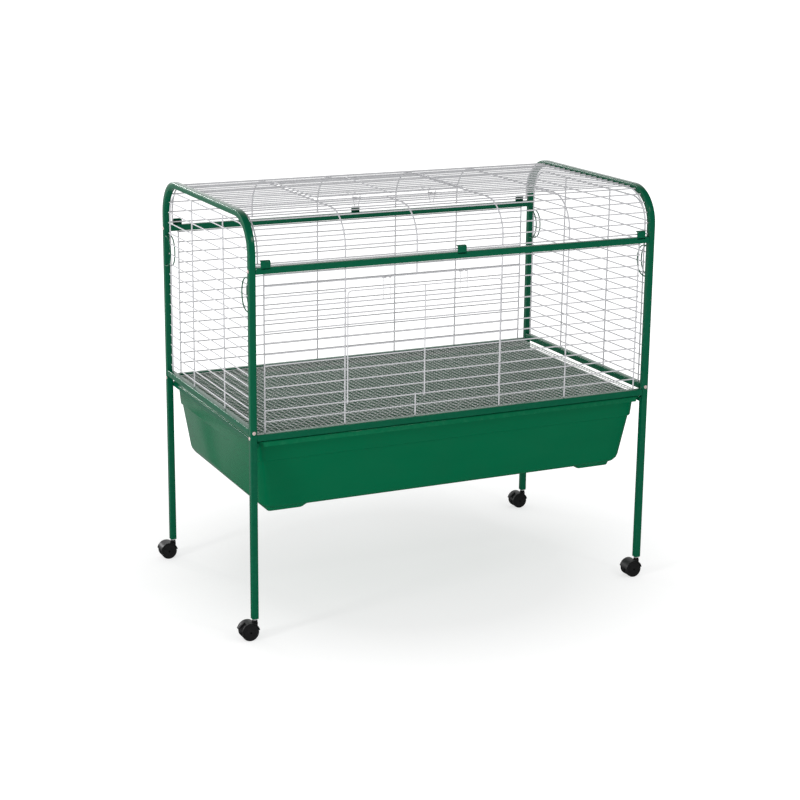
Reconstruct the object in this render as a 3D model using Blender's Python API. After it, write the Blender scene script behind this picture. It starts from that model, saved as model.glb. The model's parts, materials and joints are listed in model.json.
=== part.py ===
"""Wire rabbit hutch on a wheeled stand: tube frame, wire panels, two wire doors, floor grille, slide-out tub."""
import math

import bmesh
import bpy
from mathutils import Vector

# ---------------------------------------------------------------- driving sizes (metres)
LENGTH = 1.030            # over the outer faces of the two end hoops
DEPTH = 0.596             # over the outer faces of the front and rear tubes
HEIGHT = 0.972            # floor to the top of the hoops
TUBE = 0.015              # square tube side
WALL = 0.0012             # tube wall
BEND_R = 0.090            # outer radius of the hoop bends
LEG_BOTTOM = 0.048        # underside of the leg tube
JOINT_Z = 0.4795          # where each leg meets its hoop
LONG_LOW_Z = 0.465        # underside of the lower long rails
LONG_TOP_Z = 0.8405       # underside of the upper long rails
END_RAIL_Z = 0.478        # underside of the lower end rails
GAP = 0.0003              # clearance between separate pieces
BOLT_R = 0.0020           # bolt shank radius
BOLT_HOLE_R = 0.0023      # drilled hole radius
BOLT_HEAD_R = 0.0042      # bolt head radius
PITCH = 0.0254            # spacing of the horizontal wires
WIRE_H = 0.0022           # width of the closely spaced wires
WIRE_V = 0.0030           # width of the stiffer cross wires
PLATE = 0.0024            # thickness of a wire panel
CROSS_X = (0.109, 0.285, 0.478)      # cross wire positions either side of the middle
WIRE_Z0 = 0.4815          # level that the front and rear wires are counted from
END_Z0 = 0.4840           # level that the end panel wires are counted from
END_EDGE_Y = 0.268        # edge wire of an end panel
END_CROSS_Y = 0.106       # the two stiff uprights of an end panel
DOOR_X = (-0.281, -0.089, 0.104)     # upright wires of both doors
OPEN_ROWS = (2, 13)       # doorway between these wire rows
DOOR_OUT = 0.0035         # the doors lie this far outside their panel
ROOF_GAPS = 28            # spaces between the lengthwise roof wires
ROOF_EDGE_X = 0.4925      # edge wires of the roof
ROOF_FOOT_Z = 0.8622      # lowest lengthwise roof wire
ROOF_OPEN = (9, 20)       # roof doorway between these wires, counted from the front
TUB_TOP = 0.4632          # upper face of the tub flange
TUB_FLOOR = 0.2865        # underside of the tub floor
TRAIL = 0.015             # castor trail
WHEEL_R = 0.020
CASTER_W = 0.0165         # half width over both wheels

HL = LENGTH / 2
HD = DEPTH / 2
MID = TUBE / 2            # from an outer face to the centre line of a tube
PX = HL - MID             # centre line of the posts
PY = HD - MID
BEND_CY = HD - BEND_R
BEND_CZ = HEIGHT - BEND_R
ROOF_R = BEND_R - MID

for old in list(bpy.data.objects):
    bpy.data.objects.remove(old)


def paint(name, colour, rough=0.4, metal=0.0):
    mat = bpy.data.materials.new(name)
    mat.use_nodes = True
    bsdf = mat.node_tree.nodes["Principled BSDF"]
    bsdf.inputs["Base Color"].default_value = (*colour, 1.0)
    bsdf.inputs["Roughness"].default_value = rough
    bsdf.inputs["Metallic"].default_value = metal
    return mat


GREEN = (0.004, 0.088, 0.040)
TUB_GREEN = (0.005, 0.110, 0.052)
WHITE = (0.72, 0.72, 0.73)
STEEL = (0.55, 0.55, 0.56)
BLACK = (0.020, 0.020, 0.021)


def link(name, bm, mat, origin=(0.0, 0.0, 0.0)):
    bmesh.ops.remove_doubles(bm, verts=bm.verts, dist=1e-7)
    bmesh.ops.recalc_face_normals(bm, faces=bm.faces)
    bmesh.ops.triangulate(bm, faces=bm.faces)
    shift = Vector(origin)
    for v in bm.verts:
        v.co -= shift
    mesh = bpy.data.meshes.new(name)
    bm.to_mesh(mesh)
    bm.free()
    obj = bpy.data.objects.new(name, mesh)
    bpy.context.scene.collection.objects.link(obj)
    obj.location = origin
    mesh.materials.append(mat)
    return obj


BOX_FACES = ((0, 1, 3, 2), (4, 6, 7, 5), (0, 4, 5, 1), (2, 3, 7, 6), (0, 2, 6, 4), (1, 5, 7, 3))


def add_box(bm, lo, hi):
    xs, ys, zs = zip(lo, hi)
    v = [bm.verts.new((x, y, z)) for x in xs for y in ys for z in zs]
    for ids in BOX_FACES:
        bm.faces.new([v[i] for i in ids])


def add_rod(bm, start, end, radius, sides=10, phase=0.0):
    a, b = Vector(start), Vector(end)
    axis = (b - a).normalized()
    side = axis.orthogonal().normalized()
    up = axis.cross(side)
    rings = []
    for c in (a, b):
        rings.append([bm.verts.new(c + radius * (math.cos(t) * side + math.sin(t) * up))
                      for t in (phase + 2 * math.pi * i / sides for i in range(sides))])
    for i in range(sides):
        j = (i + 1) % sides
        bm.faces.new((rings[0][i], rings[0][j], rings[1][j], rings[1][i]))
    bm.faces.new(rings[0][::-1])
    bm.faces.new(rings[1])


def box_object(name, lo, hi, mat, origin=(0.0, 0.0, 0.0)):
    bm = bmesh.new()
    add_box(bm, lo, hi)
    return link(name, bm, mat, origin)


def helper(bm):
    """A hidden working solid for the boolean steps."""
    obj = link("helper", bm, BLACK_MAT)
    obj.hide_render = True
    obj.display_type = "WIRE"
    return obj


def combine(obj, bm, operation):
    """Boolean step; bm is in world coordinates."""
    tool = helper(bm)
    mod = obj.modifiers.new("shape", "BOOLEAN")
    mod.operation = operation
    mod.solver = "EXACT"
    mod.object = tool
    dg = bpy.context.evaluated_depsgraph_get()
    dg.update()
    mesh = bpy.data.meshes.new_from_object(obj.evaluated_get(dg))
    obj.modifiers.clear()
    old = obj.data
    obj.data = mesh
    mesh.name = obj.name
    bpy.data.meshes.remove(old)
    work = bmesh.new()
    work.from_mesh(mesh)
    bmesh.ops.remove_doubles(work, verts=work.verts, dist=1e-7)
    bmesh.ops.dissolve_limit(work, angle_limit=0.002, verts=work.verts, edges=work.edges)
    bmesh.ops.triangulate(work, faces=work.faces)
    work.to_mesh(mesh)
    work.free()
    bpy.data.objects.remove(tool)


def cut_box(obj, lo, hi):
    bm = bmesh.new()
    add_box(bm, lo, hi)
    combine(obj, bm, "DIFFERENCE")


def cut_rods(obj, rods, radius, sides=10):
    for a, b in rods:
        bm = bmesh.new()
        add_rod(bm, a, b, radius, sides)
        combine(obj, bm, "DIFFERENCE")


BLACK_MAT = paint("working_solid", BLACK)

# ---------------------------------------------------------------- hoops
BOLT_Z_END = END_RAIL_Z + MID
BOLT_Z_LOW = LONG_LOW_Z + MID
BOLT_Z_TOP = LONG_TOP_Z + MID


def arch_path(inset, foot, steps=6):
    """(Y, Z) points of an inverted U that lies inset from the outer face of a hoop."""
    r = BEND_R - inset
    pts = [(-HD + inset, foot)]
    pts += [(-BEND_CY - r * math.cos(t), BEND_CZ + r * math.sin(t))
            for t in (math.pi / 2 * i / steps for i in range(steps + 1))]
    pts += [(BEND_CY + r * math.sin(t), BEND_CZ + r * math.cos(t))
            for t in (math.pi / 2 * i / steps for i in range(steps + 1))]
    pts.append((HD - inset, foot))
    return pts


def hoop(name, side):
    outer = arch_path(0.0, JOINT_Z + GAP / 2)
    inner = arch_path(TUBE, JOINT_Z + GAP / 2)
    outer_wall = arch_path(WALL, JOINT_Z + GAP / 2)
    inner_wall = arch_path(TUBE - WALL, JOINT_Z + GAP / 2)
    x_out, x_in = side * HL, side * (HL - TUBE)
    bm = bmesh.new()
    shells = []
    for path_a, path_b, xa, xb in ((outer, inner, x_out, x_in),
                                   (outer_wall, inner_wall, x_out - side * WALL, x_in + side * WALL)):
        loops = [[bm.verts.new((xa, *a)), bm.verts.new((xb, *a)), bm.verts.new((xb, *b)), bm.verts.new((xa, *b))]
                 for a, b in zip(path_a, path_b)]
        for p, q in zip(loops, loops[1:]):
            for i in range(4):
                j = (i + 1) % 4
                bm.faces.new((p[i], p[j], q[j], q[i]))
        shells.append(loops)
    for end in (0, -1):
        big, small = shells[0][end], shells[1][end]
        for i in range(4):
            j = (i + 1) % 4
            bm.faces.new((big[i], big[j], small[j], small[i]))
    obj = link(name, bm, paint(name + "_enamel", GREEN, 0.28))
    far = side * (HL + 0.01)
    near = side * (HL - TUBE - 0.01)
    rods = [((far, y, BOLT_Z_TOP), (near, y, BOLT_Z_TOP)) for y in (-PY, PY)]
    rods.append(((side * PX, -HD - 0.01, BOLT_Z_END), (side * PX, -HD + TUBE + 0.01, BOLT_Z_END)))
    rods.append(((side * PX, HD + 0.01, BOLT_Z_END), (side * PX, HD - TUBE - 0.01, BOLT_Z_END)))
    cut_rods(obj, rods, BOLT_HOLE_R)
    return obj


hoop("hoop_left", -1)
hoop("hoop_right", 1)

# ---------------------------------------------------------------- legs
SPIGOT = 0.0060           # half side of the leg spigot that plugs into the hoop
SPIGOT_UP = 0.040         # how far the spigot stands up into the hoop
STEM_HOLE_R = 0.0042
STEM_R = 0.0038


def leg(name, sx, sy):
    cx, cy = sx * PX, sy * PY
    obj = box_object(name, (cx - MID, cy - MID, LEG_BOTTOM), (cx + MID, cy + MID, JOINT_Z - GAP / 2),
                     paint(name + "_enamel", GREEN, 0.3))
    bm = bmesh.new()
    add_box(bm, (cx - SPIGOT, cy - SPIGOT, JOINT_Z - 0.010), (cx + SPIGOT, cy + SPIGOT, JOINT_Z + SPIGOT_UP))
    combine(obj, bm, "UNION")
    hollow = MID - WALL
    cut_box(obj, (cx - hollow, cy - hollow, LEG_BOTTOM + 0.020), (cx + hollow, cy + hollow, JOINT_Z - 0.020))
    cut_rods(obj, [((cx, cy, LEG_BOTTOM - 0.01), (cx, cy, LEG_BOTTOM + 0.030))], STEM_HOLE_R)
    cut_rods(obj, [((cx - 0.02, cy, BOLT_Z_LOW), (cx + 0.02, cy, BOLT_Z_LOW)),
                   ((cx, cy - 0.02, BOLT_Z_END), (cx, cy + 0.02, BOLT_Z_END))], BOLT_HOLE_R)
    return obj


for tag_x, sx in (("left", -1), ("right", 1)):
    for tag_y, sy in (("front", -1), ("rear", 1)):
        leg("leg_%s_%s" % (tag_y, tag_x), sx, sy)

# ---------------------------------------------------------------- long rails, end rails and tub runners
RAIL_END_X = HL - TUBE - GAP
RAIL_END_Y = HD - TUBE - GAP
PLUG = 0.016              # solid plug in each rail end
CLIP_X = (-0.477, 0.0, 0.477)
CLIP_W = 0.0115           # half width of a roof clip
CLIP_H = 0.0150           # height of a roof clip above its rail
CLIP_T = 0.0018           # sheet of a roof clip
CLIP_LIP = 0.0115         # how far a roof clip reaches inward
LEDGE_X = 0.488           # half length of the ledge that carries the grille
LEDGE_Z = (0.0050, 0.0085)           # ledge faces above the underside of the rail
LEDGE_OUT = 0.0060        # how far the ledge stands out of the rail


def long_rail(name, sy, z, clips, ledge):
    y_out, y_in = sy * HD, sy * (HD - TUBE)
    lo_y, hi_y = min(y_out, y_in), max(y_out, y_in)
    obj = box_object(name, (-RAIL_END_X, lo_y, z), (RAIL_END_X, hi_y, z + TUBE), paint(name + "_enamel", GREEN, 0.3))
    top = z + TUBE
    if clips:
        for cx in CLIP_X:
            bm = bmesh.new()
            sheet = sorted((y_out, y_out - sy * CLIP_T))
            add_box(bm, (cx - CLIP_W, sheet[0], top - 0.0005), (cx + CLIP_W, sheet[1], top + CLIP_H))
            combine(obj, bm, "UNION")
            bm = bmesh.new()
            lip = sorted((y_out - sy * CLIP_T / 2, y_out - sy * CLIP_LIP))
            add_box(bm, (cx - CLIP_W, lip[0], top + CLIP_H - CLIP_T), (cx + CLIP_W, lip[1], top + CLIP_H))
            combine(obj, bm, "UNION")
    if ledge:
        bm = bmesh.new()
        strip = sorted((y_in + sy * WALL / 2, y_in - sy * LEDGE_OUT))
        add_box(bm, (-LEDGE_X, strip[0], z + LEDGE_Z[0]), (LEDGE_X, strip[1], z + LEDGE_Z[1]))
        combine(obj, bm, "UNION")
    inner = (lo_y + WALL, hi_y - WALL)
    cut_box(obj, (-RAIL_END_X + PLUG, inner[0], z + WALL), (RAIL_END_X - PLUG, inner[1], z + TUBE - WALL))
    yc = sy * PY
    cut_rods(obj, [((-RAIL_END_X - 0.01, yc, z + MID), (-RAIL_END_X + PLUG + 0.01, yc, z + MID)),
                   ((RAIL_END_X + 0.01, yc, z + MID), (RAIL_END_X - PLUG - 0.01, yc, z + MID))], BOLT_HOLE_R)
    return obj


long_rail("upper_rail_front", -1, LONG_TOP_Z, True, False)
long_rail("upper_rail_rear", 1, LONG_TOP_Z, True, False)
long_rail("lower_rail_front", -1, LONG_LOW_Z, False, True)
long_rail("lower_rail_rear", 1, LONG_LOW_Z, False, True)


def end_rail(name, sx):
    xs = sorted((sx * HL, sx * (HL - TUBE)))
    obj = box_object(name, (xs[0], -RAIL_END_Y, END_RAIL_Z), (xs[1], RAIL_END_Y, END_RAIL_Z + TUBE),
                     paint(name + "_enamel", GREEN, 0.3))
    cut_box(obj, (xs[0] + WALL, -RAIL_END_Y + PLUG, END_RAIL_Z + WALL),
            (xs[1] - WALL, RAIL_END_Y - PLUG, END_RAIL_Z + TUBE - WALL))
    xc = sx * PX
    cut_rods(obj, [((xc, -RAIL_END_Y - 0.01, BOLT_Z_END), (xc, -RAIL_END_Y + PLUG + 0.01, BOLT_Z_END)),
                   ((xc, RAIL_END_Y + 0.01, BOLT_Z_END), (xc, RAIL_END_Y - PLUG - 0.01, BOLT_Z_END))], BOLT_HOLE_R)


RUNNER_Z = (0.4500, 0.4600)          # lower and upper face of the bars the tub slides on
RUNNER_Y = (-0.2935, 0.2975)
RUNNER_W = 0.0052
for tag_x, sx in (("left", -1), ("right", 1)):
    end_rail("end_rail_" + tag_x, sx)
    xs = sorted((sx * RAIL_END_X, sx * (RAIL_END_X - RUNNER_W)))
    box_object("tub_runner_" + tag_x, (xs[0], RUNNER_Y[0], RUNNER_Z[0]), (xs[1], RUNNER_Y[1], RUNNER_Z[1]),
               paint("tub_runner_" + tag_x + "_enamel", GREEN, 0.3))

# ---------------------------------------------------------------- bolts
BOLT_REACH = 0.012        # how far a bolt runs into the rail plug
BOLT_HEAD_H = 0.0022
BOLT_CROWN_R = 0.0034     # flat on top of a bolt head
BOLT_SIDES = 6


def bolt(name, face, direction):
    d = Vector(direction)
    f = Vector(face)
    bm = bmesh.new()
    side = d.orthogonal().normalized()
    up = d.cross(side)
    profile = ((BOLT_HEAD_H, BOLT_CROWN_R), (BOLT_HEAD_H - 0.0008, BOLT_HEAD_R), (GAP, BOLT_HEAD_R), (GAP, BOLT_R),
               (-(TUBE + BOLT_REACH), BOLT_R))
    rings = [[bm.verts.new(f + d * h + r * (math.cos(t) * side + math.sin(t) * up))
              for t in (2 * math.pi * i / BOLT_SIDES for i in range(BOLT_SIDES))] for h, r in profile]
    for p, q in zip(rings, rings[1:]):
        for i in range(BOLT_SIDES):
            j = (i + 1) % BOLT_SIDES
            bm.faces.new((p[i], p[j], q[j], q[i]))
    bm.faces.new(rings[0])
    bm.faces.new(rings[-1][::-1])
    link(name, bm, paint(name + "_zinc", STEEL, 0.3, 1.0), f)


for tag_x, sx in (("left", -1), ("right", 1)):
    for tag_y, sy in (("front", -1), ("rear", 1)):
        tag = "%s_%s" % (tag_y, tag_x)
        bolt("bolt_upper_" + tag, (sx * HL, sy * PY, BOLT_Z_TOP), (sx, 0, 0))
        bolt("bolt_lower_" + tag, (sx * HL, sy * PY, BOLT_Z_LOW), (sx, 0, 0))
        bolt("bolt_end_" + tag, (sx * PX, sy * HD, BOLT_Z_END), (0, sy, 0))

# ---------------------------------------------------------------- bow guides beside the end panels
BOW_LOW, BOW_HIGH = 0.757, 0.832
BOW_REACH = 0.036
BOW_R = 0.0015
BOW_X = 0.0058            # each arc lies this far from the post centre line


def tube_path(bm, pts, radius, sides=5):
    n = len(pts)
    rings = []
    ref = None
    for i, p in enumerate(pts):
        t = (pts[min(i + 1, n - 1)] - pts[max(i - 1, 0)]).normalized()
        if ref is None:
            ref = t.orthogonal().normalized()
        ref = (ref - t * ref.dot(t)).normalized()
        up = t.cross(ref)
        rings.append([bm.verts.new(p + radius * (math.cos(a) * ref + math.sin(a) * up))
                      for a in (2 * math.pi * k / sides for k in range(sides))])
    for p, q in zip(rings, rings[1:]):
        for k in range(sides):
            m = (k + 1) % sides
            bm.faces.new((p[k], p[m], q[m], q[k]))
    bm.faces.new(rings[0][::-1])
    bm.faces.new(rings[-1])


def bow_guide(name, sx, sy):
    """One bent wire: an outer and an inner arc joined at the top, one each side of the end panel."""
    root = sy * (HD - TUBE - BOW_R - GAP)
    mid_z = (BOW_LOW + BOW_HIGH) / 2
    half = (BOW_HIGH - BOW_LOW) / 2
    steps = 6
    arc = [(root - sy * BOW_REACH * math.sin(math.pi * i / steps) ** 0.8, mid_z - half * math.cos(math.pi * i / steps))
           for i in range(steps + 1)]
    xo, xi = sx * (PX + BOW_X), sx * (PX - BOW_X)
    pts = [Vector((xo, y, z)) for y, z in arc]
    pts += [Vector((xi, y, z)) for y, z in reversed(arc)]
    bm = bmesh.new()
    tube_path(bm, pts, BOW_R)
    link(name, bm, paint(name + "_enamel", GREEN, 0.35))


for tag_x, sx in (("left", -1), ("right", 1)):
    for tag_y, sy in (("front", -1), ("rear", 1)):
        bow_guide("bow_guide_%s_%s" % (tag_y, tag_x), sx, sy)

# ---------------------------------------------------------------- wire panels
def plate(name, quads, place, thick, mat, origin=(0.0, 0.0, 0.0)):
    """A flat or bent lattice: conforming quads in (u, v) turned into one closed body."""
    bm = bmesh.new()
    found = {}

    def vert(u, v, w):
        key = (round(u, 6), round(v, 6), w)
        if key not in found:
            found[key] = bm.verts.new(place(u, v, w * thick / 2))
        return found[key]

    edges = {}
    for quad in quads:
        bm.faces.new([vert(u, v, 1) for u, v in quad])
        bm.faces.new([vert(u, v, -1) for u, v in reversed(quad)])
        for a, b in zip(quad, quad[1:] + quad[:1]):
            ka = (round(a[0], 6), round(a[1], 6))
            kb = (round(b[0], 6), round(b[1], 6))
            key = (min(ka, kb), max(ka, kb))
            edges.setdefault(key, []).append((a, b))
    for used in edges.values():
        if len(used) == 1:
            a, b = used[0]
            bm.faces.new((vert(*b, 1), vert(*a, 1), vert(*a, -1), vert(*b, -1)))
    return link(name, bm, mat, origin)


def lattice(cols, rows, col_w, row_w, keep_cell, v_ends=None):
    """Quads of a grid of bars. keep_cell(kind, i, j) tells whether a bar piece is present.

    kind is "node" (column i crosses row j), "col" (column i between rows j and j + 1) or
    "row" (row j between columns i and i + 1)."""
    quads = []
    cl = [c - col_w / 2 for c in cols]
    ch = [c + col_w / 2 for c in cols]
    rl = [r - row_w / 2 for r in rows]
    rh = [r + row_w / 2 for r in rows]
    for i in range(len(cols)):
        for j in range(len(rows)):
            if keep_cell("node", i, j):
                quads.append([(cl[i], rl[j]), (ch[i], rl[j]), (ch[i], rh[j]), (cl[i], rh[j])])
            if j + 1 < len(rows) and keep_cell("col", i, j):
                quads.append([(cl[i], rh[j]), (ch[i], rh[j]), (ch[i], rl[j + 1]), (cl[i], rl[j + 1])])
            if i + 1 < len(cols) and keep_cell("row", i, j):
                quads.append([(ch[i], rl[j]), (cl[i + 1], rl[j]), (cl[i + 1], rh[j]), (ch[i], rh[j])])
    if v_ends:
        for i in range(len(cols)):
            quads.append([(cl[i], v_ends[0]), (ch[i], v_ends[0]), (ch[i], rl[0]), (cl[i], rl[0])])
            quads.append([(cl[i], rh[-1]), (ch[i], rh[-1]), (ch[i], v_ends[1]), (cl[i], v_ends[1])])
    return quads


COLS = [-c for c in reversed(CROSS_X)] + list(CROSS_X)
PANEL_ROWS = 14
END_ROWS = 17
ROWS = [WIRE_Z0 + PITCH * n for n in range(1, PANEL_ROWS + 1)]
PANEL_ENDS = (LONG_LOW_Z + TUBE + GAP, LONG_TOP_Z - GAP)


def front_keep(kind, i, j):
    low, high = OPEN_ROWS[0] - 1, OPEN_ROWS[1] - 1
    if kind == "node" and i == 2 and low < j < high:
        return False
    if kind == "col" and i == 2 and low <= j < high:
        return False
    if kind == "row" and i in (1, 2) and low < j < high:
        return False
    return True


def always(kind, i, j):
    return True


plate("front_panel", lattice(COLS, ROWS, WIRE_V, WIRE_H, front_keep, v_ends=PANEL_ENDS),
      lambda u, v, w: (u, -PY - w, v), PLATE, paint("front_panel_coat", WHITE, 0.35))
plate("rear_panel", lattice(COLS, ROWS, WIRE_V, WIRE_H, always, v_ends=PANEL_ENDS),
      lambda u, v, w: (u, PY - w, v), PLATE, paint("rear_panel_coat", WHITE, 0.35))


def end_quads():
    """Uprights, cross wires and the arched edge wire of an end panel, in (Y, Z)."""
    half = WIRE_V / 2
    rows = [END_Z0 + PITCH * n for n in range(1, END_ROWS + 1)]
    foot = END_RAIL_Z + TUBE + GAP
    top = BEND_CZ + (END_EDGE_Y - BEND_CY)
    radius = END_EDGE_Y - BEND_CY

    def edge(z, off):
        r = radius + off
        if z <= BEND_CZ:
            return BEND_CY + r
        return BEND_CY + math.sqrt(max(r * r - (z - BEND_CZ) ** 2, 0.0))

    quads = []
    cross = [-END_CROSS_Y, END_CROSS_Y]
    rl = [r - WIRE_H / 2 for r in rows]
    rh = [r + WIRE_H / 2 for r in rows]
    for sign in (-1, 1):
        stops = [foot]
        for lo, hi in zip(rl, rh):
            stops += [lo, hi]
        arc_in = [(sign * edge(z, -half), z) for z in stops]
        arc_out = [(sign * edge(z, half), z) for z in stops]
        z_last = stops[-1]
        a0 = math.asin((z_last - BEND_CZ) / (radius - half))
        b0 = math.asin((z_last - BEND_CZ) / (radius + half))
        steps = 4
        for k in range(1, steps + 1):
            a = a0 + (math.pi / 2 - a0) * k / steps
            b = b0 + (math.pi / 2 - b0) * k / steps
            arc_in.append((sign * (BEND_CY + (radius - half) * math.cos(a)), BEND_CZ + (radius - half) * math.sin(a)))
            arc_out.append((sign * (BEND_CY + (radius + half) * math.cos(b)), BEND_CZ + (radius + half) * math.sin(b)))
        for k in range(len(arc_in) - 1):
            quads.append([arc_in[k], arc_out[k], arc_out[k + 1], arc_in[k + 1]])
        for j in range(len(rows)):
            quads.append([(sign * edge(rl[j], -half), rl[j]), (sign * edge(rh[j], -half), rh[j]),
                          (sign * (END_CROSS_Y + half), rh[j]), (sign * (END_CROSS_Y + half), rl[j])])
        quads.append([(sign * BEND_CY, top - half), (sign * BEND_CY, top + half),
                      (sign * (END_CROSS_Y + half), top + half), (sign * (END_CROSS_Y + half), top - half)])
    for c in cross:
        stops = [foot]
        for lo, hi in zip(rl, rh):
            stops += [lo, hi]
        stops += [top - half, top + half]
        for a, b in zip(stops, stops[1:]):
            quads.append([(c - half, a), (c + half, a), (c + half, b), (c - half, b)])
    for j in range(len(rows)):
        quads.append([(-END_CROSS_Y + half, rl[j]), (END_CROSS_Y - half, rl[j]),
                      (END_CROSS_Y - half, rh[j]), (-END_CROSS_Y + half, rh[j])])
    quads.append([(-END_CROSS_Y + half, top - half), (END_CROSS_Y - half, top - half),
                  (END_CROSS_Y - half, top + half), (-END_CROSS_Y + half, top + half)])
    return quads


for tag_x, sx in (("left", -1), ("right", 1)):
    plate("end_panel_" + tag_x, end_quads(), lambda u, v, w, s=sx: (s * PX + w, u, v), PLATE,
          paint("end_panel_" + tag_x + "_coat", WHITE, 0.35))

# ---------------------------------------------------------------- roof panel
ROOF_STRAIGHT = BEND_CZ - ROOF_FOOT_Z
ROOF_BEND = ROOF_R * math.pi / 2
ROOF_FLAT = 2 * BEND_CY
ROOF_ARC = 2 * ROOF_STRAIGHT + 2 * ROOF_BEND + ROOF_FLAT
ROOF_PITCH = ROOF_ARC / ROOF_GAPS


def roof_point(u, s, w):
    """Length u, distance s along the arch from the front foot, offset w outward."""
    if s <= ROOF_STRAIGHT:
        return (u, -PY - w, ROOF_FOOT_Z + s)
    s -= ROOF_STRAIGHT
    if s <= ROOF_BEND:
        a = s / ROOF_R
        return (u, -BEND_CY - (ROOF_R + w) * math.cos(a), BEND_CZ + (ROOF_R + w) * math.sin(a))
    s -= ROOF_BEND
    if s <= ROOF_FLAT:
        return (u, -BEND_CY + s, BEND_CZ + ROOF_R + w)
    s -= ROOF_FLAT
    if s <= ROOF_BEND:
        a = s / ROOF_R
        return (u, BEND_CY + (ROOF_R + w) * math.sin(a), BEND_CZ + (ROOF_R + w) * math.cos(a))
    s -= ROOF_BEND
    return (u, PY + w, BEND_CZ - s)


ROOF_COLS = [-ROOF_EDGE_X, -CROSS_X[1], -CROSS_X[0], CROSS_X[0], CROSS_X[1], ROOF_EDGE_X]
ROOF_ROWS = [ROOF_PITCH * k for k in range(ROOF_GAPS + 1)]


def roof_keep(kind, i, j):
    low, high = ROOF_OPEN
    if kind == "node" and i == 2 and low < j < high:
        return False
    if kind == "col" and i == 2 and low <= j < high:
        return False
    if kind == "row" and i in (1, 2) and low < j < high:
        return False
    return True


plate("roof_panel", lattice(ROOF_COLS, ROOF_ROWS, WIRE_V, WIRE_H, roof_keep), roof_point, PLATE,
      paint("roof_panel_coat", WHITE, 0.35))
ROOF_Z = BEND_CZ + ROOF_R
ROOF_OPEN_Y = [roof_point(0, ROOF_ROWS[k], 0)[1] for k in ROOF_OPEN]

# ---------------------------------------------------------------- doors
HINGE_Z = WIRE_Z0 + PITCH * OPEN_ROWS[0]
FRONT_HINGE = (0.0, -PY, HINGE_Z)
ROOF_HINGE = (0.0, ROOF_OPEN_Y[1], ROOF_Z)
DOOR_ROWS = 10
CURL_IN = 0.0033          # the back leg of a door curl, behind the hinge wire
CURL_T = 0.0009           # half thickness of a curl
CURL_LOW = 0.0046         # the curl reaches this far below the hinge wire
CURL_TIP = 0.0030         # end of the back leg above the hinge wire
CURL_ROOT = 0.0040        # where the curl joins its upright


def door(name, place, pitch, origin, mat):
    """Lattice of door rows 1 to 10 above the hinge, with the uprights curled round the hinge wire.

    (u, v, w): along the length, distance from the hinge wire, outward from the panel."""
    cols = list(DOOR_X)
    rows = [pitch * n for n in range(1, DOOR_ROWS + 1)]
    quads = lattice(cols, rows, WIRE_V, WIRE_H, always)
    quads += [[(c - WIRE_V / 2, 0.0), (c + WIRE_V / 2, 0.0), (c + WIRE_V / 2, rows[0] - WIRE_H / 2),
               (c - WIRE_V / 2, rows[0] - WIRE_H / 2)] for c in cols]
    obj = plate(name, quads, lambda u, v, w: place(u, v, DOOR_OUT + w), PLATE, mat, origin)
    for c in cols:
        bm = bmesh.new()
        inside = 2 * CURL_T + 0.0002 - CURL_LOW
        outline = ((DOOR_OUT + PLATE / 2, CURL_ROOT), (DOOR_OUT + PLATE / 2, -CURL_LOW),
                   (-CURL_IN - CURL_T, -CURL_LOW), (-CURL_IN - CURL_T, CURL_TIP), (-CURL_IN + CURL_T, CURL_TIP),
                   (-CURL_IN + CURL_T, inside), (DOOR_OUT - PLATE / 2, inside), (DOOR_OUT - PLATE / 2, CURL_ROOT))
        loops = []
        for u in (c - WIRE_V / 2, c + WIRE_V / 2):
            loops.append([bm.verts.new(place(u, v, w)) for w, v in outline])
        bm.faces.new(loops[0])
        bm.faces.new(loops[1][::-1])
        for i in range(len(outline)):
            j = (i + 1) % len(outline)
            bm.faces.new((loops[0][i], loops[0][j], loops[1][j], loops[1][i]))
        combine(obj, bm, "UNION")
    return obj


door("front_door", lambda u, v, w: (u, -PY - w, HINGE_Z + v), PITCH, FRONT_HINGE,
     paint("front_door_coat", WHITE, 0.35))
door("roof_door", lambda u, v, w: (u, ROOF_HINGE[1] - v, ROOF_Z + w), ROOF_PITCH, ROOF_HINGE,
     paint("roof_door_coat", WHITE, 0.35))

# ---------------------------------------------------------------- spring wire latches
LATCH_LEN = 0.050
LATCH_HALF = 0.0090
LATCH_T = 0.0010
LATCH_OUT = 0.0068        # how far the latch arms stand out from the panel plane
LATCH_X = (-0.187, 0.0055)
COIL_OUT_R = 0.0034
COIL_IN_R = 0.0020
COIL_SIDES = 10
ARM_ROOT = 0.0028         # the arms and tails start inside the coil wall
TAIL_OUT = 0.022          # how far the tails of a roof latch hang down


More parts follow.
